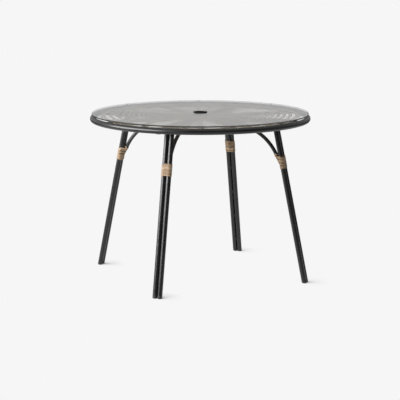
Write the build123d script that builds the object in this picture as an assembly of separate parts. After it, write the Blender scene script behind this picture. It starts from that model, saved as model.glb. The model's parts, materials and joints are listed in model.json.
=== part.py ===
from build123d import *
import math
import os

# A round garden table in millimetres: +Z up, the floor at zero, the parasol hole on the Z axis

# Top
table_height = 750.0
glass_diameter = 984.0
glass_thickness = 6.0
glass_edge = 1.5
ring_diameter = 1000.0
ring_tube = 27.0
tube_wall = 1.5
panel_thickness = 3.5
panel_open = 18.0

# Soft pads that the loose glass stands on
pad_count = 8
pad_height = 5.0
pad_diameter = 9.0
pad_stem = 6.0
pad_stem_depth = 7.0

# Parasol hole
parasol_bore = 45.0
collar_wall = 3.0
collar_flange = 64.0
collar_flange_thickness = 3.0
collar_flange_round = 1.2
collar_depth = 42.0
hub_wall = 4.0
glass_hole_clearance = 1.0
hub_clearance = 3.0

# Spokes: square tubes above the legs, round tubes between them
leg_spoke_width = 20.0
rod_spoke_diameter = 14.0

# Legs: pairs of straight tubes that lean outwards
leg_count = 4
leg_tube = 22.0
leg_tube_gap = 0.3
foot_radius = 508.0
leg_top_radius = 361.0
plug_height = 12.0
plug_spigot = 20.0
plug_chamfer = 1.5
tie_diameter = 5.0
tie_length = 16.0
tie_chamfer = 1.0
tie_first = 70.0
tie_pitch = 125.0
tie_count = 4

# Braces
brace_tube = 16.5
brace_bend = 227.0
brace_run = 18.0
swage_turn = 14.0
swage_length = 54.0
flatten_length = 24.0
tab_width = 20.0
tab_margin = 12.0

# Bindings of flat strand round each leg and the lower end of its brace
strand_width = 3.9
strand_thickness = 2.0
strand_gap = 1.0
strand_turns = 11
strand_tail = 4.0
binding_drop = 14.0
binding_crown = 1.5
gap_samples = 12

# Leg plates and fasteners
plate_thickness = 4.0
plate_length = 100.0
plate_margin = 2.0
plate_corner = 8.0
plate_bolt_reach = 38.0
bolt_shank = 6.0
bolt_head = 10.0
bolt_head_height = 4.0
bolt_grip = 12.0
washer_diameter = 13.0
washer_thickness = 1.2
nut_body = 9.0
nut_length = 11.0
nut_bulge = 12.0
nut_bulge_height = 3.0

# Clearances
weld_gap = 0.3
seat_gap = 0.3
fastener_gap = 0.3
plug_gap = 0.3
panel_gap = 0.3
strand_clearance = 0.4
cut_past = 1.0

# Heights and radii that follow
glass_under = table_height - glass_thickness
ring_top = glass_under - pad_height
ring_centre = ring_top - ring_tube / 2
ring_under = ring_centre - ring_tube / 2
ring_radius = ring_diameter / 2 - ring_tube / 2
spoke_under = ring_under
spoke_centre = spoke_under + leg_spoke_width / 2
collar_outer = parasol_bore + 2 * collar_wall
hub_bore = collar_outer + 2 * hub_clearance
hub_outer = hub_bore + 2 * hub_wall
leg_tube_radius = leg_tube / 2
leg_spacing = leg_tube + leg_tube_gap
plate_under = spoke_under - plate_thickness
plate_width = leg_spacing + leg_tube + 2 * plate_margin
bolt_hole = bolt_shank + 2 * fastener_gap
lean = math.atan2(foot_radius - leg_top_radius, spoke_under)
sector = 360.0 / leg_count

# Directions of the leg that is drawn, which stands in the XZ plane
foot_point = Vector(foot_radius, 0, 0)
across = Vector(0, 1, 0)
inward = Vector(-math.cos(lean), 0, -math.sin(lean))
upward = Vector(-math.sin(lean), 0, math.cos(lean))


def on_leg(u, v, w):
    return foot_point + across * u + inward * v + upward * w


def leg_plane(u, v, w):
    return Plane(origin=on_leg(u, v, w), x_dir=across, z_dir=upward)


def rod(plane, radius, length):
    return plane * Cylinder(radius, length, align=(Align.CENTER, Align.CENTER, Align.MIN))


def upright(x, y, low, high, radius):
    return rod(Plane(origin=(x, y, low)), radius, high - low)


def spun(shape, angle):
    return Rot(0, 0, angle) * shape


def group(shapes):
    solids = [solid for shape in shapes for solid in shape.solids()]
    return Compound(children=solids)


def save(name, shape):
    shape.label = name
    export_step(shape, os.path.join("parts", name + ".step"))


os.makedirs("parts", exist_ok=True)
leg_names = ["back_right", "back_left", "front_left", "front_right"]
leg_angles = [sector * (i + 0.5) for i in range(leg_count)]
rod_names = ["right", "back", "left", "front"]
rod_angles = [sector * i for i in range(leg_count)]
pad_angles = [360.0 / pad_count * (i + 0.5) for i in range(pad_count)]
seam_angle = rod_angles[1] + sector / 8


# Rim: one tube bent round until its ends meet, with a hole for the stem of every pad
def make_ring():
    tube = Circle(ring_tube / 2) - Circle(ring_tube / 2 - tube_wall)
    seam = math.degrees(weld_gap / ring_radius)
    ring = revolve(Plane.XZ * Pos(ring_radius, ring_centre) * tube, Axis.Z, 360 - seam)
    hole = upright(ring_radius, 0, ring_centre, glass_under, pad_stem / 2 + seat_gap)
    return spun(ring, seam_angle) - [spun(hole, angle) for angle in pad_angles]


# Pad: a soft button whose underside fits the rim and whose stem sits in the rim
def make_pad():
    button = upright(ring_radius, 0, ring_top - ring_tube / 4, glass_under, pad_diameter / 2)
    button -= Pos(0, 0, ring_centre) * Torus(ring_radius, ring_tube / 2 + seat_gap)
    stem = upright(ring_radius, 0, ring_top - pad_stem_depth, ring_top + pad_height / 2, pad_stem / 2)
    return button + stem


def make_hub():
    bottom = spoke_under
    top = spoke_under + leg_spoke_width
    return upright(0, 0, bottom, top, hub_outer / 2) - upright(0, 0, bottom, top, hub_bore / 2)


# Trims the ends of a spoke to the rim and to the hub
def fit_spoke(spoke):
    spoke -= Pos(0, 0, ring_centre) * Torus(ring_radius, ring_tube / 2 + weld_gap)
    spoke -= upright(0, 0, 0, table_height, hub_outer / 2 + weld_gap)
    return spoke.solids().sort_by(SortBy.VOLUME)[-1]


def make_rod_spoke():
    plane = Plane(origin=(0, 0, spoke_centre), x_dir=(0, 1, 0), z_dir=(1, 0, 0))
    outer = rod(plane, rod_spoke_diameter / 2, ring_radius)
    return fit_spoke(outer - rod(plane, rod_spoke_diameter / 2 - tube_wall, ring_radius))


def make_leg_spoke(bolt_radii):
    length = Align.MIN, Align.CENTER, Align.CENTER
    bore_width = leg_spoke_width - 2 * tube_wall
    spoke = Box(ring_radius, leg_spoke_width, leg_spoke_width, align=length)
    spoke -= Box(ring_radius, bore_width, bore_width, align=length)
    spoke = Pos(0, 0, spoke_centre) * spoke
    for radius in bolt_radii:
        hole_radius = nut_body / 2 + fastener_gap
        spoke -= upright(radius, 0, spoke_under - tube_wall, spoke_under + 2 * tube_wall, hole_radius)
    return fit_spoke(spoke)


# Woven top: one mat that lies on the spokes, with an open ring between it and the rim
def make_panel():
    low = spoke_under + leg_spoke_width
    high = low + panel_thickness
    outer = ring_radius - ring_tube / 2 - panel_open
    return upright(0, 0, low, high, outer) - upright(0, 0, low, high, hub_outer / 2 + panel_gap)


# Glass disc with rounded edges, and the collar that lines its hole
def make_glass():
    hole_radius = collar_outer / 2 + glass_hole_clearance
    glass = upright(0, 0, glass_under, table_height, glass_diameter / 2)
    glass = fillet(glass.edges().filter_by(GeomType.CIRCLE), glass_edge)
    return glass - upright(0, 0, glass_under, table_height, hole_radius)


def make_collar():
    sleeve = upright(0, 0, table_height - collar_depth, table_height, collar_outer / 2)
    flange = upright(0, 0, table_height, table_height + collar_flange_thickness, collar_flange / 2)
    rim_edge = flange.edges().filter_by(GeomType.CIRCLE).sort_by(Axis.Z)[-1]
    collar = sleeve + fillet(rim_edge, collar_flange_round)
    return collar - upright(0, 0, 0, 2 * table_height, parasol_bore / 2)


# One tube of a leg, square at the plug and level under the plate
def make_leg_tube(side):
    reach = 2 * table_height
    plane = leg_plane(side * leg_spacing / 2, 0, plug_height)
    tube = rod(plane, leg_tube_radius, reach) - rod(plane, leg_tube_radius - tube_wall, reach)
    return split(tube, bisect_by=Plane.XY.offset(plate_under), keep=Keep.BOTTOM)


# Plug: a spigot in the tube and a foot that is cut level on the floor
def make_plug(side):
    u = side * leg_spacing / 2
    foot = rod(leg_plane(u, 0, -plug_height), leg_tube_radius, 2 * plug_height)
    foot = split(foot, bisect_by=Plane.XY, keep=Keep.TOP)
    foot = chamfer(foot.edges().sort_by(Axis.Z)[0], plug_chamfer)
    spigot_radius = leg_tube_radius - tube_wall - plug_gap
    return foot + rod(leg_plane(u, 0, plug_height / 2), spigot_radius, plug_height / 2 + plug_spigot)


# Depth in the groove of a rod that lies against both tubes of a leg
def groove_depth(radius, gap):
    reach = leg_tube_radius + radius + gap
    return math.sqrt(reach**2 - (leg_spacing / 2) ** 2)


def make_tie(w):
    depth = groove_depth(tie_diameter / 2, weld_gap)
    tie = rod(leg_plane(0, depth, w - tie_length / 2), tie_diameter / 2, tie_length)
    return chamfer(tie.edges().filter_by(GeomType.CIRCLE), tie_chamfer)


def make_plate():
    plate = Box(plate_length, plate_width, plate_thickness)
    plate = fillet(plate.edges().filter_by(Axis.Z), plate_corner)
    plate = Pos(leg_top_radius, 0, spoke_under - plate_thickness / 2) * plate
    for radius in plate_bolt_radii:
        plate -= upright(radius, 0, plate_under - cut_past, spoke_under + cut_past, bolt_hole / 2)
    return plate


# Brace: its bend starts in line with the groove and ends level under the spoke
brace_radius = brace_tube / 2
brace_level = spoke_under - seat_gap - brace_radius
brace_depth = groove_depth(brace_radius, weld_gap)
bend_foot_height = brace_level - brace_bend * (1 - math.sin(lean))
bend_foot_w = (bend_foot_height + brace_depth * math.sin(lean)) / math.cos(lean)
bend_centre = on_leg(0, brace_depth, bend_foot_w) + inward * brace_bend
swage_angle = math.radians(swage_turn)


# Point of the bend at an angle from the leg's direction
def on_bend(angle):
    return bend_centre - inward * brace_bend * math.cos(angle) + upward * brace_bend * math.sin(angle)


bend_low = on_bend(swage_angle)
bend_top = on_bend(math.pi / 2 - lean)
swage_top_depth = brace_depth + brace_bend * (1 - math.cos(swage_angle))
swage_top_w = bend_foot_w + brace_bend * math.sin(swage_angle)
swage_end_depth = swage_top_depth - swage_length * math.sin(swage_angle)
swage_end_w = swage_top_w - swage_length * math.cos(swage_angle)
swage_end_radius = math.hypot(swage_end_depth, leg_spacing / 2) - leg_tube_radius - weld_gap
flatten_start = bend_top.X - brace_run
tab_start = flatten_start - flatten_length
brace_bolt_radius = tab_start - tab_margin
tab_thickness = 2 * tube_wall
plate_bolt_radii = [leg_top_radius - plate_bolt_reach, leg_top_radius + plate_bolt_reach]


def make_brace():
    swage_direction = inward * math.sin(swage_angle) + upward * math.cos(swage_angle)
    top_plane = Plane(origin=bend_low, x_dir=across, z_dir=swage_direction)
    end_plane = Plane(origin=bend_low - swage_direction * swage_length, x_dir=across, z_dir=swage_direction)
    swage = loft([end_plane * Circle(swage_end_radius), top_plane * Circle(brace_radius)])
    bend = TangentArc(bend_low, bend_top, tangent=swage_direction)
    run = Line(bend_top, (flatten_start, 0, brace_level))
    path = Wire([bend, run])
    tube = sweep(top_plane * Circle(brace_radius), path)
    bore = sweep(top_plane * Circle(brace_radius - tube_wall), path)
    tab_level = spoke_under - tab_thickness / 2
    flat_plane = Plane(origin=(flatten_start, 0, brace_level), x_dir=(0, 1, 0), z_dir=(-1, 0, 0))
    tab_plane = Plane(origin=(tab_start, 0, tab_level), x_dir=(0, 1, 0), z_dir=(-1, 0, 0))
    pressed = loft([flat_plane * Circle(brace_radius), tab_plane * Ellipse(tab_width / 2, tab_thickness / 2)])
    tab = extrude(tab_plane * Rectangle(tab_width, tab_thickness), tab_margin)
    tab += upright(brace_bolt_radius, 0, spoke_under - tab_thickness, spoke_under, tab_width / 2)
    brace = swage + (tube - bore) + pressed + tab
    hole_low = spoke_under - 2 * tab_thickness
    return brace - upright(brace_bolt_radius, 0, hole_low, spoke_under + cut_past, bolt_hole / 2)


# Binding: one flat strand wound round both tubes and the swaged end of the brace
loop_radius = leg_tube_radius + strand_clearance + strand_thickness / 2
strand_pitch = strand_width + strand_gap
binding_start = bend_foot_w - binding_drop


# Centre depth and radius of the strand's bend round the brace at a height along the leg
def nose(w):
    share = max(w + strand_width / 2 - swage_end_w, 0) / (swage_top_w - swage_end_w)
    radius = swage_end_radius + (brace_radius - swage_end_radius) * min(share, 1)
    depth = swage_end_depth + (swage_top_depth - swage_end_depth) * share
    bend = radius / math.cos(swage_angle) + strand_clearance + strand_thickness / 2
    return max(depth, loop_radius - bend + binding_crown), bend


# One turn square to the leg: round a tube, over the brace and round the other tube
def make_turn(w):
    half = leg_spacing / 2
    depth, bend = nose(w)
    turned = math.atan2(depth, half) + math.acos((loop_radius - bend) / math.hypot(half, depth))
    side = on_leg(loop_radius * math.cos(turned) - half, loop_radius * math.sin(turned), w)
    tip = on_leg(bend * math.cos(turned), depth + bend * math.sin(turned), w)
    far_tip = tip - across * 2 * tip.Y
    far_side = side - across * 2 * side.Y
    rise = (tip - side).normalized()
    fall = (far_side - far_tip).normalized()
    return [
        TangentArc(on_leg(-half, -loop_radius, w), side, tangent=-across),
        Line(side, tip),
        TangentArc(tip, far_tip, tangent=rise),
        Line(far_tip, far_side),
        TangentArc(far_side, on_leg(half, -loop_radius, w), tangent=fall),
    ]


# The step to the next turn: two arcs over the front of the tubes that start and end level
def make_step(start, end):
    middle = (start + end) * 0.5
    chord = middle - start
    way = across - chord * (2 * chord.dot(across) / chord.dot(chord))
    return [TangentArc(start, middle, tangent=-across), TangentArc(middle, end, tangent=way)]


# Least gap of the strand to itself, measured on points that lie half a turn or more apart
def least_gap(edges):
    points = [edge @ (i / gap_samples) for edge in edges for i in range(gap_samples)]
    half = len(points) // strand_turns // 2
    spans = [(a - b).length for i, a in enumerate(points) for b in points[i + half : i + 3 * half]]
    return min(spans) - strand_width


def make_binding():
    turns = [make_turn(binding_start + strand_pitch * (i + 0.5)) for i in range(strand_turns)]
    for turn, other in zip(turns, turns[1:]):
        turn += make_step(turn[-1] @ 1, other[0] @ 0)
    edges = [edge for turn in turns for edge in turn]
    print("least gap between the turns of a binding", round(least_gap(edges), 3))
    start = edges[0] @ 0 + across * strand_tail
    end = edges[-1] @ 1 - across * strand_tail
    path = Wire([Line(start, edges[0] @ 0), *edges, Line(edges[-1] @ 1, end)])
    section = Plane(origin=start, x_dir=upward, z_dir=-across) * Rectangle(strand_width, strand_thickness)
    return sweep(section, path)


# Fasteners: a screw from below with its washer, and the blind rivet nut in the spoke
def make_bolt(radius, seat):
    head_top = seat - washer_thickness
    sides = Plane(origin=(radius, 0, head_top - bolt_head_height)) * RegularPolygon(bolt_head / 2, 6)
    return extrude(sides, bolt_head_height) + upright(radius, 0, head_top, seat + bolt_grip, bolt_shank / 2)


def make_washer(radius, seat):
    low = seat - washer_thickness
    washer = upright(radius, 0, low, seat, washer_diameter / 2)
    return washer - upright(radius, 0, low, seat, bolt_hole / 2)


def make_nut(radius):
    wall_top = spoke_under + tube_wall
    nut = upright(radius, 0, spoke_under, spoke_under + nut_length, nut_body / 2)
    nut += upright(radius, 0, wall_top, wall_top + nut_bulge_height, nut_bulge / 2)
    return nut - upright(radius, 0, spoke_under, spoke_under + nut_length, bolt_hole / 2)


save("top_ring", make_ring())
save("hub_ring", make_hub())
save("woven_panel", make_panel())
save("glass_top", make_glass())
save("parasol_collar", make_collar())
pad = make_pad()
save("glass_pads", group([spun(pad, angle) for angle in pad_angles]))

rod_spoke = make_rod_spoke()
for name, angle in zip(rod_names, rod_angles):
    save(name + "_spoke", spun(rod_spoke, angle))

leg_pieces = {
    "spoke": make_leg_spoke(plate_bolt_radii + [brace_bolt_radius]),
    "leg_plate": make_plate(),
    "leg_tube_1": make_leg_tube(-1),
    "leg_tube_2": make_leg_tube(1),
    "leg_ties": group([make_tie(tie_first + tie_pitch * i) for i in range(tie_count)]),
    "foot_plugs": group([make_plug(-1), make_plug(1)]),
    "brace": make_brace(),
    "binding": make_binding(),
}
for name, angle in zip(leg_names, leg_angles):
    for piece, shape in leg_pieces.items():
        save(name + "_" + piece, spun(shape, angle))

bolt_seats = [(radius, plate_under) for radius in plate_bolt_radii]
bolt_seats.append((brace_bolt_radius, spoke_under - tab_thickness))
bolts = []
washers = []
nuts = []
for angle in leg_angles:
    for radius, seat in bolt_seats:
        bolts.append(spun(make_bolt(radius, seat), angle))
        washers.append(spun(make_washer(radius, seat), angle))
        nuts.append(spun(make_nut(radius), angle))
save("bolts", group(bolts))
save("washers", group(washers))
save("rivet_nuts", group(nuts))
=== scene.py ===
import json
import math
import random
import bpy
import numpy as np
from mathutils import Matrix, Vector


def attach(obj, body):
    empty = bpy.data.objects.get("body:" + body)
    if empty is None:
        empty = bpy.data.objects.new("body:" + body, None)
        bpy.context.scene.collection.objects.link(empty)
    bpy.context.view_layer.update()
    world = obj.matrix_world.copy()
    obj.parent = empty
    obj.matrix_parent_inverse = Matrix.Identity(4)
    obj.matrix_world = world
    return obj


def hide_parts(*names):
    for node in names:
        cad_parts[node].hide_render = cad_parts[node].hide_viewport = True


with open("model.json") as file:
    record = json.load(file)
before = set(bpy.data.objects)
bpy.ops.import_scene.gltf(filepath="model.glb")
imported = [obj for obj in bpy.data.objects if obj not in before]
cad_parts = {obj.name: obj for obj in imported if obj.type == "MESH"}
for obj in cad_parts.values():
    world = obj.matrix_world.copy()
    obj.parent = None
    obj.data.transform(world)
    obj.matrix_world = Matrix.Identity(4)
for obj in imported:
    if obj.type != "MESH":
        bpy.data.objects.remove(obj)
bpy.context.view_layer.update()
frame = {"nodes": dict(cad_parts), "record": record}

nodes = frame["nodes"]
scene = bpy.context.scene
scene.view_settings.view_transform = "Standard"
legs = {"back_right": 45, "back_left": 135, "front_left": 225, "front_right": 315}
spokes, spokeTurn = 8, 45  # every second spoke is square and carries a leg
sharpAngle = math.radians(35)
chance = random.Random(7)
print("frame loaded:", len(nodes), "nodes")


# Shader sums are written as plain expressions on sockets
class Sock:
    def __init__(self, paint, socket):
        self.paint, self.socket = paint, socket

    def op(self, operation, a, b=0.0):
        return self.paint.add("Math", {"operation": operation}, {0: a, 1: b})

    def __add__(self, other): return self.op("ADD", self, other)
    def __radd__(self, other): return self.op("ADD", other, self)
    def __sub__(self, other): return self.op("SUBTRACT", self, other)
    def __rsub__(self, other): return self.op("SUBTRACT", other, self)
    def __mul__(self, other): return self.op("MULTIPLY", self, other)
    def __rmul__(self, other): return self.op("MULTIPLY", other, self)
    def __pow__(self, other): return self.op("POWER", self, other)
    def __abs__(self): return self.op("ABSOLUTE", self)

    def step(self, low, high):  # 0 below low, 1 above high, smooth between
        return self.paint.add("MapRange", {"interpolation_type": "SMOOTHSTEP"},
                              {"Value": self, "From Min": low, "From Max": high})


class Paint:
    def __init__(self, name, world=None):
        self.owner = world or bpy.data.materials.new(name)
        self.owner.use_nodes = True
        self.tree = self.owner.node_tree
        self.tree.nodes.clear()

    # Settings go in first, then the values or links of the sockets
    def add(self, kind, settings=None, inputs=None, out=0):
        node = self.tree.nodes.new("ShaderNode" + kind)
        for key, value in (settings or {}).items():
            if key == "stops":
                ramp = node.color_ramp
                while len(ramp.elements) < len(value):
                    ramp.elements.new(0.5)
                for element, (place, colour) in zip(ramp.elements, value):
                    element.position, element.color = place, (*colour, 1)
            else:
                setattr(node, key, value)
        for key, value in (inputs or {}).items():
            target = node.inputs[key]
            if isinstance(value, Sock):
                self.tree.links.new(value.socket, target)
            elif target.type == "RGBA" and len(value) == 3:
                target.default_value = (*value, 1)
            else:
                target.default_value = value
        return Sock(self, node.outputs[out]) if len(node.outputs) else node

    def place(self, kind="Object"):
        return self.add("TexCoord", out=kind)

    def join(self, *values):
        return self.add("CombineXYZ", None, dict(enumerate(values)))

    def noise(self, place, scale, detail, rough=0.5):
        return self.add("TexNoise", None, {"Vector": place, "Scale": scale, "Detail": detail, "Roughness": rough})

    def mix(self, share, first, second):
        return self.add("Mix", {"data_type": "RGBA"}, {0: share, 6: first, 7: second}, out=2)

    def bump(self, height, strength, depth):
        return self.add("Bump", None, {"Strength": strength, "Distance": depth, "Height": height})

    def finish(self, **inputs):
        named = {key.replace("_", " "): value for key, value in inputs.items()}
        shader = self.add("BsdfPrincipled", None, named)
        self.add("OutputMaterial", None, {"Surface": shader})
        return self.owner


def cover(piece, material):
    piece.data.materials.clear()
    piece.data.materials.append(material)


def addMesh(name, verts, faces, material, marks):
    mesh = bpy.data.meshes.new(name)
    mesh.from_pydata(verts, [], faces)
    mesh.update()
    mesh.polygons.foreach_set("use_smooth", [True] * len(mesh.polygons))
    for key, values in marks.items():
        mesh.attributes.new(key, "FLOAT", "POINT").data.foreach_set("value", values)
    piece = bpy.data.objects.new(name, mesh)
    scene.collection.objects.link(piece)
    cover(piece, material)
    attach(piece, "frame")
    return piece


# Angles all the way round, the last one short of the first
def roundTurns(count):
    return np.linspace(0, 2 * math.pi, count, endpoint=False)


# Rows of points, each with the same count, joined into side faces
def sideFaces(rows, sides, closed, first=0):
    faces = []
    for i in range(rows if closed else rows - 1):
        here, there = first + i * sides, first + (i + 1) % rows * sides
        for k in range(sides):
            m = (k + 1) % sides
            faces.append((here + k, here + m, there + m, there + k))
    if not closed:
        faces.append(tuple(first + k for k in range(sides))[::-1])
        faces.append(tuple(first + (rows - 1) * sides + k for k in range(sides)))
    return faces


# Skin along a line of points: profile corners are (across, out) from the line
def skin(points, outs, profile, closed, size):
    ahead = np.roll(points, -1, 0) - np.roll(points, 1, 0)
    if not closed:
        ahead[0] = points[1] - points[0]
        ahead[-1] = points[-1] - points[-2]
    ahead /= np.linalg.norm(ahead, axis=1)[:, None]
    outs = outs - ahead * np.sum(outs * ahead, axis=1)[:, None]
    outs /= np.linalg.norm(outs, axis=1)[:, None]
    across = np.cross(ahead, outs)
    verts = np.stack([points + (across * a + outs * b) * size[:, None] for a, b in profile])
    return verts.transpose(1, 0, 2).reshape(-1, 3)


# Strands gathered into one mesh, with marks for the finish: along, across and the tint of each turn
class Heap:
    def __init__(self):
        self.verts, self.faces = [], []
        self.marks = {"along": [], "across": [], "tint": []}

    def strand(self, points, outs, profile, closed, tints, size=None):
        verts = skin(points, outs, profile, closed, np.ones(len(points)) if size is None else size)
        self.faces += sideFaces(len(points), len(profile), closed, len(self.verts))
        self.verts += [tuple(v) for v in verts]
        along = np.concatenate([[0], np.cumsum(np.linalg.norm(np.diff(points, axis=0), axis=1))])
        widest = max(a for a, b in profile)
        self.marks["along"] += list(np.repeat(along, len(profile)))
        self.marks["across"] += [a / widest for a, b in profile] * len(points)
        self.marks["tint"] += list(np.repeat(tints, len(profile)))

    def make(self, name, material):
        return addMesh(name, self.verts, self.faces, material, self.marks)


# Strand section: flat inside with eased corners, crowned outside
section = {"crown": 0.45, "crownPoints": 6, "crownFrom": 0.12, "foot": 0.93, "ease": 0.2}


def strandProfile(width, thick):
    half, low, rise = width / 2, -thick / 2, thick * section["crown"]
    foot, lip = half * section["foot"], low + thick * section["ease"]
    crown = np.linspace(section["crownFrom"], math.pi - section["crownFrom"], section["crownPoints"])
    top = [(half * math.cos(a), thick / 2 - rise + rise * math.sin(a)) for a in crown]
    return [(foot, low), (half, lip)] + top + [(-half, lip), (-foot, low)]


# Camera
camera = {"place": (-2.5342, -5.7976, 1.5159), "turn": (79.51, 0, -23.60), "lens": 126.0, "sensor": 36.0,
          "clipEnd": 200}
eye = bpy.data.objects.new("eye", bpy.data.cameras.new("eye"))
eye.location = camera["place"]
eye.rotation_euler = [math.radians(a) for a in camera["turn"]]
eye.data.lens, eye.data.sensor_width = camera["lens"], camera["sensor"]
eye.data.clip_end = camera["clipEnd"]
scene.collection.objects.link(eye)
scene.camera = eye

# Light: a studio that is dim on the camera's side, and one wide soft box on the left
light = {"front": 0.06, "behind": 0.53, "above": 0.9, "slant": 0.2,
         "camera": (-0.40, -0.92, 0.0), "left": (-0.92, 0.40, 0.0),
         "wallFrom": -0.15, "wallTo": 0.75, "roofFrom": 0.5, "roofTo": 0.95,
         "boxPlace": (-3.6, 0.1, 1.6), "boxAim": (0, 0, 0.5), "boxWidth": 4.2, "boxHeight": 1.6, "boxPower": 290}
world = bpy.data.worlds.new("studio")
scene.world = world
air = Paint("studio", world)
way = air.place("Generated")
facing, aside = [air.add("VectorMath", {"operation": "DOT_PRODUCT"}, {0: way, 1: light[side]}, out="Value")
                 for side in ("camera", "left")]
roof = air.add("SeparateXYZ", None, {0: way}, out="Z").step(light["roofFrom"], light["roofTo"])
wall = light["behind"] + (light["front"] - light["behind"]) * facing.step(light["wallFrom"], light["wallTo"])
wall = wall * (1 + light["slant"] * aside)
level = wall + (light["above"] - wall) * roof
air.add("OutputWorld", None, {"Surface": air.add("Background", None, {"Color": (1, 1, 1), "Strength": level})})
softBox = bpy.data.objects.new("key", bpy.data.lights.new("key", "AREA"))
softBox.data.shape = "RECTANGLE"
softBox.data.size, softBox.data.size_y = light["boxWidth"], light["boxHeight"]
softBox.data.energy = light["boxPower"]
softBox.location = light["boxPlace"]
aim = Vector(light["boxAim"]) - Vector(light["boxPlace"])
softBox.rotation_euler = aim.to_track_quat("-Z", "Y").to_euler()
scene.collection.objects.link(softBox)

# The soft box isn't mirrored in the glass, which would burn out when seen from the right
unlit = bpy.data.collections.new("unlit")
unlit.objects.link(nodes["glass_top"])
unlit.collection_objects[0].light_linking.link_state = "EXCLUDE"
softBox.light_linking.receiver_collection = unlit

# Floor: the camera sees its own pale tone, shaded only close to the feet
floor = {"half": 60.0, "tone": 0.9216, "reach": 0.10, "samples": 16, "shade": 1.75, "fade": 1.7, "least": 0.2,
         "tilt": (-0.98, -0.16, 0.12), "nearEdge": 1.3, "farEdge": 3.0, "farTone": 0.12}
boards = Paint("paleFloor")
through = boards.add("LightPath", out="Is Transmission Ray")
mirrored = boards.add("LightPath", out="Is Glossy Ray") * (1 - through)
shown = (boards.add("LightPath", out="Is Camera Ray") + mirrored + through).step(0.0, 1.0)
away = boards.add("VectorMath", {"operation": "LENGTH"}, {0: boards.place()}, out="Value")
dim = mirrored * away.step(floor["nearEdge"], floor["farEdge"]) * (1 - floor["farTone"])
near = boards.add("AmbientOcclusion", {"samples": floor["samples"]},
                  {"Distance": floor["reach"], "Normal": boards.join(*floor["tilt"])}, out="AO")
shade = 1 - ((1 - near) * floor["shade"]) ** floor["fade"]
tone = floor["tone"] * shade.op("MAXIMUM", shade, floor["least"]) * (1 - dim)
lit = boards.add("BsdfDiffuse", None, {"Color": (floor["tone"],) * 3})
own = boards.add("Emission", None, {"Color": boards.mix(tone, (0, 0, 0), (1, 1, 1))})
boards.add("OutputMaterial", None, {"Surface": boards.add("MixShader", None, {0: shown, 1: lit, 2: own})})
ground = bpy.data.meshes.new("floor")
h = floor["half"]
ground.from_pydata([(-h, -h, 0), (h, -h, 0), (h, h, 0), (-h, h, 0)], [], [(0, 1, 2, 3)])
slab = bpy.data.objects.new("floor", ground)
cover(slab, boards.owner)
scene.collection.objects.link(slab)
print("camera, light and floor set")

# Powder coat: near black, with a faint orange peel
coat = {"dark": (0.006, 0.006, 0.0063), "pale": (0.010, 0.0098, 0.0095), "peel": 900, "cloud": 9,
        "cloudFrom": 0.3, "cloudTo": 0.75, "rough": 0.28, "vary": 0.08, "shine": 0.5, "bump": 0.06, "depth": 0.0003}


def makePowderCoat():
    p = Paint("powderCoat")
    at = p.place()
    peel = p.noise(at, coat["peel"], 2)
    cloud = p.noise(at, coat["cloud"], 3)
    tone = p.mix(cloud.step(coat["cloudFrom"], coat["cloudTo"]), coat["dark"], coat["pale"])
    return p.finish(Base_Color=tone, Roughness=coat["rough"] + cloud * coat["vary"],
                    Specular_IOR_Level=coat["shine"], Normal=p.bump(peel, coat["bump"], coat["depth"]))


# Glass: clear and lightly smeared on its faces, ground along its edge
glass = {"edge": (0.90, 0.93, 0.90), "face": (0.97, 0.985, 0.975), "flatFrom": 0.3, "flatTo": 0.8, "index": 1.5,
         "rough": 0.004, "edgeRough": 0.5, "smear": 6, "smearFrom": 0.55, "smearTo": 0.8, "smearRough": 0.008}


def makeGlass():
    p = Paint("clearGlass")
    smear = p.noise(p.place(), glass["smear"], 4).step(glass["smearFrom"], glass["smearTo"])
    upright = p.add("SeparateXYZ", None, {0: p.add("NewGeometry", out="Normal")}, out="Z")
    flat = abs(upright).step(glass["flatFrom"], glass["flatTo"])
    rough = glass["rough"] + smear * glass["smearRough"] + (1 - flat) * glass["edgeRough"]
    return p.finish(Base_Color=p.mix(flat, glass["edge"], glass["face"]), Roughness=rough, IOR=glass["index"],
                    Transmission_Weight=1.0)


# Black plastics: fine moulded grain
plastic = {"grain": 1600, "cloud": 35, "vary": 0.12, "bump": 0.25, "depth": 0.0003,
           "collarPlastic": {"dark": (0.006, 0.0055, 0.005), "pale": (0.010, 0.009, 0.008),
                             "rough": 0.62, "shine": 0.18},
           "plugPlastic": {"dark": (0.010, 0.010, 0.010), "pale": (0.018, 0.018, 0.018),
                           "rough": 0.5, "shine": 0.5}}


def makePlastic(name):
    p, own = Paint(name), plastic[name]
    at = p.place()
    grain = p.noise(at, plastic["grain"], 2)
    cloud = p.noise(at, plastic["cloud"], 2)
    return p.finish(Base_Color=p.mix(cloud, own["dark"], own["pale"]), Specular_IOR_Level=own["shine"],
                    Roughness=own["rough"] + grain * plastic["vary"],
                    Normal=p.bump(grain, plastic["bump"], plastic["depth"]))


# Pads: soft, hazy and half clear
pad = {"dark": (0.22, 0.22, 0.21), "pale": (0.30, 0.30, 0.29), "haze": 300, "rough": 0.42, "vary": 0.1,
       "index": 1.41, "clear": 0.6}


def makePad():
    p = Paint("padRubber")
    haze = p.noise(p.place(), pad["haze"], 2)
    return p.finish(Base_Color=p.mix(haze, pad["dark"], pad["pale"]), Roughness=pad["rough"] + haze * pad["vary"],
                    IOR=pad["index"], Transmission_Weight=pad["clear"])


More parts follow.
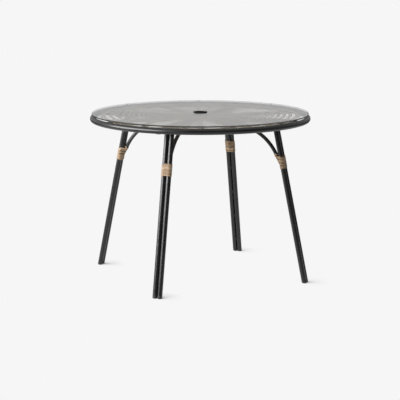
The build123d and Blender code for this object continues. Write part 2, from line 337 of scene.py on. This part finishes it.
# Strand: fibres run along it, each turn has its own tone, and painted shade darkens it along both edges, in the
# grooves between strands
strand = {"fibreAlong": 60, "fibreAcross": 5, "fibreTint": 70, "patchAlong": 16, "patchTint": 90,
          "fibreShare": 0.4, "patchShare": 0.3, "tintShare": 0.3, "stops": (0.3, 0.5, 0.72),
          "grooveShadeFrom": 0.7, "grooveShadeTo": 1.0, "grooveShadeTone": 0.3, "rough": 0.40, "vary": 0.2, "bump": 0.35, "depth": 0.0003,
          "weaveStrand": {"tones": ((0.33, 0.235, 0.145), (0.51, 0.395, 0.27), (0.69, 0.57, 0.42)), "grooveShade": 0.3},
          "bindStrand": {"tones": ((0.178, 0.102, 0.042), (0.288, 0.198, 0.121), (0.385, 0.285, 0.205)), "grooveShade": 0.5}}


def makeStrand(name):
    p, own, s = Paint(name), strand[name], strand
    along, across, tint = [p.add("Attribute", {"attribute_name": key}, out="Fac")
                           for key in ("along", "across", "tint")]
    fibre = p.noise(p.join(along * s["fibreAlong"], across * s["fibreAcross"], tint * s["fibreTint"]), 1.0, 3, 0.6)
    patch = p.noise(p.join(along * s["patchAlong"], tint * s["patchTint"]), 1.0, 2)
    share = fibre * s["fibreShare"] + patch * s["patchShare"] + tint * s["tintShare"]
    tone = p.add("ValToRGB", {"stops": list(zip(s["stops"], own["tones"]))}, {0: share})
    # Painted shade: darker along both edges of each strand, where the grooves between strands lie
    grooveShade = abs(across).step(s["grooveShadeFrom"], s["grooveShadeTo"]) * own["grooveShade"]
    tone = p.mix(grooveShade, tone, [c * s["grooveShadeTone"] for c in own["tones"][0]])
    return p.finish(Base_Color=tone, Roughness=s["rough"] + fibre * s["vary"],
                    Normal=p.bump(fibre, s["bump"], s["depth"]))


# Zinc: bright plated steel with a small spangle
zinc = {"dark": (0.42, 0.42, 0.43), "pale": (0.62, 0.62, 0.6), "spangle": 700, "rough": 0.32, "vary": 0.15}


def makeZinc():
    p = Paint("zincPlate")
    spangle = p.noise(p.place(), zinc["spangle"], 3)
    return p.finish(Base_Color=p.mix(spangle, zinc["dark"], zinc["pale"]), Metallic=1.0,
                    Roughness=zinc["rough"] + spangle * zinc["vary"])


powderCoat = makePowderCoat()
plugPlastic = makePlastic("plugPlastic")
weaveStrand, bindStrand = makeStrand("weaveStrand"), makeStrand("bindStrand")
finishes = {"frame": powderCoat, "glass": makeGlass(), "black_plastic": plugPlastic, "pad": makePad(),
            "weave": weaveStrand, "binding": bindStrand, "fastener": makeZinc()}
for part in frame["record"]["subparts"]:
    cover(nodes[part["node"]], finishes[part["material_slot"]])
cover(nodes["parasol_collar"], makePlastic("collarPlastic"))
print("finishes set")

# Woven top: a flat mat on the spokes, rows of strand that go over one stake and under the next
# Each slip is an angle where the bundles of rows, counted from the rim, have moved inwards
weave = {"inner": 0.0340, "outer": 0.4548, "width": 0.0078, "thick": 0.0010, "centre": 0.7337, "pitch": 0.0082,
         "rim": 3, "group": 2, "gapOut": 0.0100, "gapIn": 0.0015, "gapFrom": 0.12, "rimPaintedLight": (0.9, 1.3),
         "steps": 8, "swell": 0.6, "wobble": 0.0003, "wobbles": 5, "slipWide": 26.0,
         "slips": {165.0: (0.0, 0.0075, 0.0120, 0.0150, 0.0170, 0.0170, 0.0160, 0.0140, 0.0115, 0.0090, 0.0066,
                           0.0045, 0.0027, 0.0013, 0.0),
                   329.0: (0.0, 0.0040, 0.0070, 0.0092, 0.0105, 0.0105, 0.0098, 0.0086, 0.0071, 0.0056, 0.0041,
                           0.0027, 0.0015, 0.0006, 0.0)},
         "stakes": 16, "stakeWidth": 0.0052, "stakeThick": 0.0007, "stakeSteps": 40,
         "fold": 0.0014, "foldSteps": 9, "tuck": 0.016, "tuckAt": (0.4, 0.8, 1.0),
         "tieAt": (0.2405, 0.4200), "tieWidth": 0.0045, "tieBend": 0.0025, "tieSteps": 6, "slack": 0.0008,
         "spokeZ": 0.722, "squareHalf": 0.010, "roundHalf": 0.007, "leastStep": 1e-5}
stakeTurn = 2 * math.pi / weave["stakes"]


def weaveRow(radius, row, bundle):
    lift = (weave["thick"] + weave["stakeThick"]) / 2
    drift = chance.uniform(0, 2 * math.pi)
    points = []
    for i in range(weave["stakes"] * weave["steps"]):
        turn = i / weave["steps"]
        angle = (turn + 0.5) * stakeTurn
        swing = math.cos(math.pi * (turn + row))
        reach = radius + weave["wobble"] * math.sin(weave["wobbles"] * angle + drift)
        for place, slips in weave["slips"].items():
            off = math.remainder(math.degrees(angle) - place, 360) / weave["slipWide"]
            reach -= slips[min(bundle, len(slips) - 1)] * math.exp(-off * off)
        height = weave["centre"] + lift * math.copysign(abs(swing) ** weave["swell"], swing)
        points.append((reach * math.cos(angle), reach * math.sin(angle), height))
    return np.array(points)


# Stake: out to the edge of the mat, round the last row and back under it
def weaveStake(angle):
    folds, tucks = np.linspace(0, math.pi, weave["foldSteps"])[1:], weave["tuckAt"]
    line = [(r, 0.0) for r in np.linspace(weave["inner"], weave["outer"], weave["stakeSteps"])]
    line += [(weave["outer"] + weave["fold"] * math.sin(a), weave["fold"] * (math.cos(a) - 1)) for a in folds]
    line += [(weave["outer"] - weave["tuck"] * t, -2 * weave["fold"]) for t in tucks]
    ups = [(0.0, 1.0)] * weave["stakeSteps"] + [(math.sin(a), math.cos(a)) for a in folds] + [(0.0, -1.0)] * len(tucks)
    side = np.array((math.cos(angle), math.sin(angle), 0))
    points = np.array([side * r + np.array((0, 0, weave["centre"] + z)) for r, z in line])
    return points, np.array([side * a + np.array((0, 0, b)) for a, b in ups])


# Tie: a loop of strand round a spoke and the mat on it
def weaveTie(angle, radius, square):
    half = weave["squareHalf"] if square else weave["roundHalf"]
    high = weave["centre"] + weave["thick"] + weave["stakeThick"] / 2 + weave["slack"]
    low, half = weave["spokeZ"] - half - weave["slack"], half + weave["slack"]
    over, under = weave["tieBend"], weave["tieBend"] if square else half
    side = np.array((-math.sin(angle), math.cos(angle), 0))
    out = np.array((math.cos(angle), math.sin(angle), 0))
    corners = ((1, high - over, over), (-1, high - over, over), (-1, low + under, under), (1, low + under, under))
    points, outs = [], []
    for k, (sign, z, bend) in enumerate(corners):
        for a in np.linspace(k * math.pi / 2, (k + 1) * math.pi / 2, weave["tieSteps"]):
            turned = side * math.cos(a) + np.array((0, 0, math.sin(a)))
            points.append(out * radius + side * sign * (half - bend) + np.array((0, 0, z)) + turned * bend)
            outs.append(turned)
    keep = [i for i in range(len(points)) if np.linalg.norm(points[i] - points[i - 1]) > weave["leastStep"]]
    return np.array([points[i] for i in keep]), np.array([outs[i] for i in keep])


top = Heap()
profile = strandProfile(weave["width"], weave["thick"])
radius, row, bundle, left = weave["outer"] - weave["width"] / 2, 0, 0, weave["rim"]
while radius > weave["inner"] + weave["width"] / 2:
    line = weaveRow(radius, row, bundle)
    # The rows by the rim get paler tints: painted light, as they lie in the shade of the glass and the rim
    tint = chance.random() if bundle else chance.uniform(*weave["rimPaintedLight"])
    top.strand(line, np.tile((0.0, 0.0, 1.0), (len(line), 1)), profile, True, [tint] * len(line))
    row, left, radius = row + 1, left - 1, radius - weave["pitch"]
    if left == 0:
        share = max(0, radius - weave["gapFrom"]) / (weave["outer"] - weave["gapFrom"])
        radius -= weave["gapIn"] + (weave["gapOut"] - weave["gapIn"]) * share
        bundle, left = bundle + 1, weave["group"]
profile = strandProfile(weave["stakeWidth"], weave["stakeThick"])
for i in range(weave["stakes"]):
    line, ups = weaveStake((i + 0.5) * stakeTurn)
    top.strand(line, ups, profile, False, [chance.random()] * len(line))
profile = strandProfile(weave["tieWidth"], weave["stakeThick"])
for spoke in range(spokes):
    for radius in weave["tieAt"]:
        line, outs = weaveTie(math.radians(spoke * spokeTurn), radius, spoke % 2 == 1)
        top.strand(line, outs, profile, True, [chance.random()] * len(line))
wovenTop = top.make("wovenTop", weaveStrand)
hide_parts("woven_panel")
print("woven top made:", row, "rows")

# Bindings: one strand wound round both tubes of a leg and the foot of its brace, then round the brace alone
# Heights run along the leg; opens gives the turns that stand apart, pale shifts the tone of each leg: painted light
# and shade, paler on the back left leg by the soft box and darker on the back right leg in shade
binding = {"footRadius": 0.508, "topRadius": 0.361, "topHeight": 0.712, "tube": 0.011, "spacing": 0.0223,
           "width": 0.0047, "thick": 0.0020, "gap": 0.0002, "start": 0.5227, "turns": 11, "pitch": 0.0048,
           "crown": 0.0015, "fan": 0.002, "steps": 60, "tubeSteps": 12, "noseSteps": 10,
           "endDepth": 0.00974, "endW": 0.53920, "endRadius": 0.00350,
           "topDepth": 0.02280, "topW": 0.59160, "topReach": 0.00825,
           "openFrom": 0.12, "openOver": 0.3, "loopSteps": 32, "loopTint": 0.8,
           "shift": {"back_right": 0.0025, "back_left": -0.0015, "front_left": 0.0025, "front_right": 0.004},
           "opens": {"back_right": {5: 0.0042}, "back_left": {6: 0.0030, 8: 0.0030}, "front_left": {},
                     "front_right": {3: 0.0036, 8: 0.0016}},
           "pale": {"back_right": -0.35, "back_left": 0.3, "front_left": 0.0, "front_right": -0.08},
           "loops": {"back_right": 1.0, "back_left": 1.1, "front_left": 1.5, "front_right": 1.6}}
lean = math.atan2(binding["footRadius"] - binding["topRadius"], binding["topHeight"])
inward = np.array((-math.cos(lean), 0, -math.sin(lean)))
upward = np.array((-math.sin(lean), 0, math.cos(lean)))
sideways = np.array((0.0, 1.0, 0.0))


def onLeg(u, v, w):
    return np.array((binding["footRadius"], 0, 0)) + sideways * u + inward * v + upward * w


def spinning(angle):
    c, s = math.cos(math.radians(angle)), math.sin(math.radians(angle))
    return np.array(((c, -s, 0), (s, c, 0), (0, 0, 1))).T


# Depth and radius of the brace's tapered end at a height along the leg
def braceAt(w):
    b = binding
    share = max((w - b["endW"]) / (b["topW"] - b["endW"]), 0)
    depth = b["endDepth"] + (b["topDepth"] - b["endDepth"]) * share
    return depth, b["endRadius"] + (b["topReach"] - b["endRadius"]) * min(share, 1)


# One turn in even steps, as place and way out, with how far each step lies towards the brace
def wrapLoop(w):
    b = binding
    skinned = b["gap"] + b["thick"] / 2
    bend, half = b["tube"] + skinned, b["spacing"] / 2
    depth, nose = braceAt(w)
    nose += skinned
    depth = max(depth, bend - nose + b["crown"])
    turned = math.atan2(depth, half) + math.acos((bend - nose) / math.hypot(half, depth))
    arcs = ((-half, 0, bend, 1.5 * math.pi, turned, b["tubeSteps"]),
            (0, depth, nose, turned, math.pi - turned, b["noseSteps"]),
            (half, 0, bend, math.pi - turned, -0.5 * math.pi, b["tubeSteps"]))
    line = [(u + reach * math.cos(a), v + reach * math.sin(a), math.cos(a), math.sin(a))
            for u, v, reach, first, last, count in arcs for a in np.linspace(first, last, count)]
    line = np.array(line + [(-half + 1e-6, -bend, 0, -1)])
    along = np.concatenate([[0], np.cumsum(np.linalg.norm(np.diff(line[:, :2], axis=0), axis=1))])
    wanted = np.linspace(0, along[-1], b["steps"], endpoint=False)
    loop = np.stack([np.interp(wanted, along, line[:, k]) for k in range(4)], 1)
    return loop, (loop[:, 1] + bend) / (depth + nose + bend)


def makeBinding(leg, angle):
    b = binding
    heap = Heap()
    profile = strandProfile(b["width"], b["thick"])
    spun = spinning(angle)
    line, outs, tints = [], [], []
    w = b["start"] + b["shift"][leg] + b["width"] / 2
    for turn in range(b["turns"]):
        opened = sum(r for place, r in b["opens"][leg].items() if turn >= place)
        fan = b["fan"] * (turn / b["turns"]) ** 2
        loop, inner = wrapLoop(w + fan + opened)
        rises = fan * inner + opened * np.clip((inner - b["openFrom"]) / b["openOver"], 0, 1)
        # Painted light and shade: each leg's strand is made paler or darker by its pale shift
        tint = chance.random() + b["pale"][leg]
        for i, (u, v, nu, nv) in enumerate(loop):
            line.append(onLeg(u, v, w + b["pitch"] * i / b["steps"] + rises[i]))
            outs.append(sideways * nu + inward * nv)
            tints.append(tint)
        w += b["pitch"]
    heap.strand(np.array(line) @ spun, np.array(outs) @ spun, profile, False, tints)
    start = w + fan + opened
    line, outs = [], []
    slope = math.atan2(b["topDepth"] - b["endDepth"], b["topW"] - b["endW"])
    across = inward * math.cos(slope) - upward * math.sin(slope)
    for i in range(int(b["loops"][leg] * b["loopSteps"])):
        turn = i / b["loopSteps"]
        w = start + b["pitch"] * turn
        depth, nose = braceAt(w)
        out = sideways * math.cos(2 * math.pi * turn) + across * math.sin(2 * math.pi * turn)
        line.append(onLeg(0, depth, w) + out * (nose + b["gap"] + b["thick"] / 2))
        outs.append(out)
    heap.strand(np.array(line) @ spun, np.array(outs) @ spun, profile, False, [b["loopTint"]] * len(line))
    piece = heap.make(leg + "_wrap", bindStrand)
    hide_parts(leg + "_binding")


for leg, angle in legs.items():
    makeBinding(leg, angle)
print("bindings wound")

# Foot plugs: the end of each is rounded and stands level on the floor
plug = {"height": 0.012, "round": 0.0055, "sides": 40, "steps": 8}


# Way out of a leaning leg tube where a level plane cuts it
def levelWay(a):
    return np.array((math.cos(a) / math.cos(lean), math.sin(a), 0))


def makePlugs(leg, angle):
    tube, turns = binding["tube"], roundTurns(plug["sides"])
    verts, faces = [], []
    for side in (-1, 1):
        u, rings = side * binding["spacing"] / 2, []
        for a in np.linspace(0, math.pi / 2, plug["steps"]):
            reach = tube - plug["round"] * (1 - math.sin(a))
            middle = onLeg(u, 0, plug["round"] * (1 - math.cos(a)) / math.cos(lean))
            rings.append([middle + reach * levelWay(t) for t in turns])
        rings.append([onLeg(u + tube * math.sin(t), -tube * math.cos(t), plug["height"]) for t in turns])
        faces += sideFaces(len(rings), plug["sides"], False, len(verts))
        for ring in rings:
            verts += [tuple(v) for v in np.array(ring) @ spinning(angle)]
    piece = addMesh(leg + "_feet", verts, faces, plugPlastic, {})
    piece.data.set_sharp_from_angle(angle=sharpAngle)
    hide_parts(leg + "_foot_plugs")


for leg, angle in legs.items():
    makePlugs(leg, angle)
print("foot plugs made")

# Weld beads: rippled rings where tubes meet the rim, the hub and the leg plates
weld = {"size": 0.0016, "sides": 8, "steps": 72, "ripple": 0.0035, "depth": 0.13, "tint": 0.5,
        "rim": 0.4865, "rimTube": 0.0135, "rimZ": 0.7255, "hub": 0.0325, "plateZ": 0.708,
        "spokeZ": 0.722, "square": 0.010, "corner": 0.0134, "round": 0.007, "seamAngle": 101.25, "seamSize": 0.0008}
beads = Heap()


def addBead(points, outs, angle, size):
    points, outs = np.array(points), np.array(outs)
    length = np.linalg.norm(np.roll(points, -1, 0) - points, axis=1).sum()
    count = max(1, round(length / weld["ripple"]))
    waves = 1 + weld["depth"] * np.sin(count * roundTurns(len(points)))
    profile = [(size * math.cos(a), size * math.sin(a)) for a in roundTurns(weld["sides"])]
    tints = [weld["tint"]] * len(points)
    beads.strand(points @ spinning(angle), outs @ spinning(angle), profile, True, tints, waves)


for spoke in range(spokes):
    atRim, atHub, outs = [], [], []
    for a in roundTurns(weld["steps"]):
        c, s = math.cos(a), math.sin(a)
        reach = min(weld["square"] / max(abs(c), abs(s)), weld["corner"]) if spoke % 2 else weld["round"]
        y, z = reach * c, weld["spokeZ"] + reach * s
        inside = weld["rim"] - math.sqrt(max(weld["rimTube"] ** 2 - (z - weld["rimZ"]) ** 2, 0))
        atRim.append((math.sqrt(inside ** 2 - y ** 2), y, z))
        atHub.append((math.sqrt(weld["hub"] ** 2 - y ** 2), y, z))
        outs.append((0, c, s))
    addBead(atRim, outs, spoke * spokeTurn, weld["size"])
    addBead(atHub, outs, spoke * spokeTurn, weld["size"])
for angle in legs.values():
    for side in (-1, 1):
        middle = onLeg(side * binding["spacing"] / 2, 0, weld["plateZ"] / math.cos(lean))
        ways = [levelWay(a) for a in roundTurns(weld["steps"])]
        addBead([middle + binding["tube"] * way for way in ways], ways, angle, weld["size"])
seam = [(math.cos(a), 0, math.sin(a)) for a in roundTurns(weld["steps"])]
middle = np.array((weld["rim"], 0, weld["rimZ"]))
addBead([middle + weld["rimTube"] * np.array(way) for way in seam], seam, weld["seamAngle"], weld["seamSize"])
beads.make("weldBeads", powderCoat)
print("weld beads laid")

# Smooth shading on the round pieces that come from the frame
for piece in nodes.values():
    piece.data.polygons.foreach_set("use_smooth", [True] * len(piece.data.polygons))
    piece.data.set_sharp_from_angle(angle=sharpAngle)
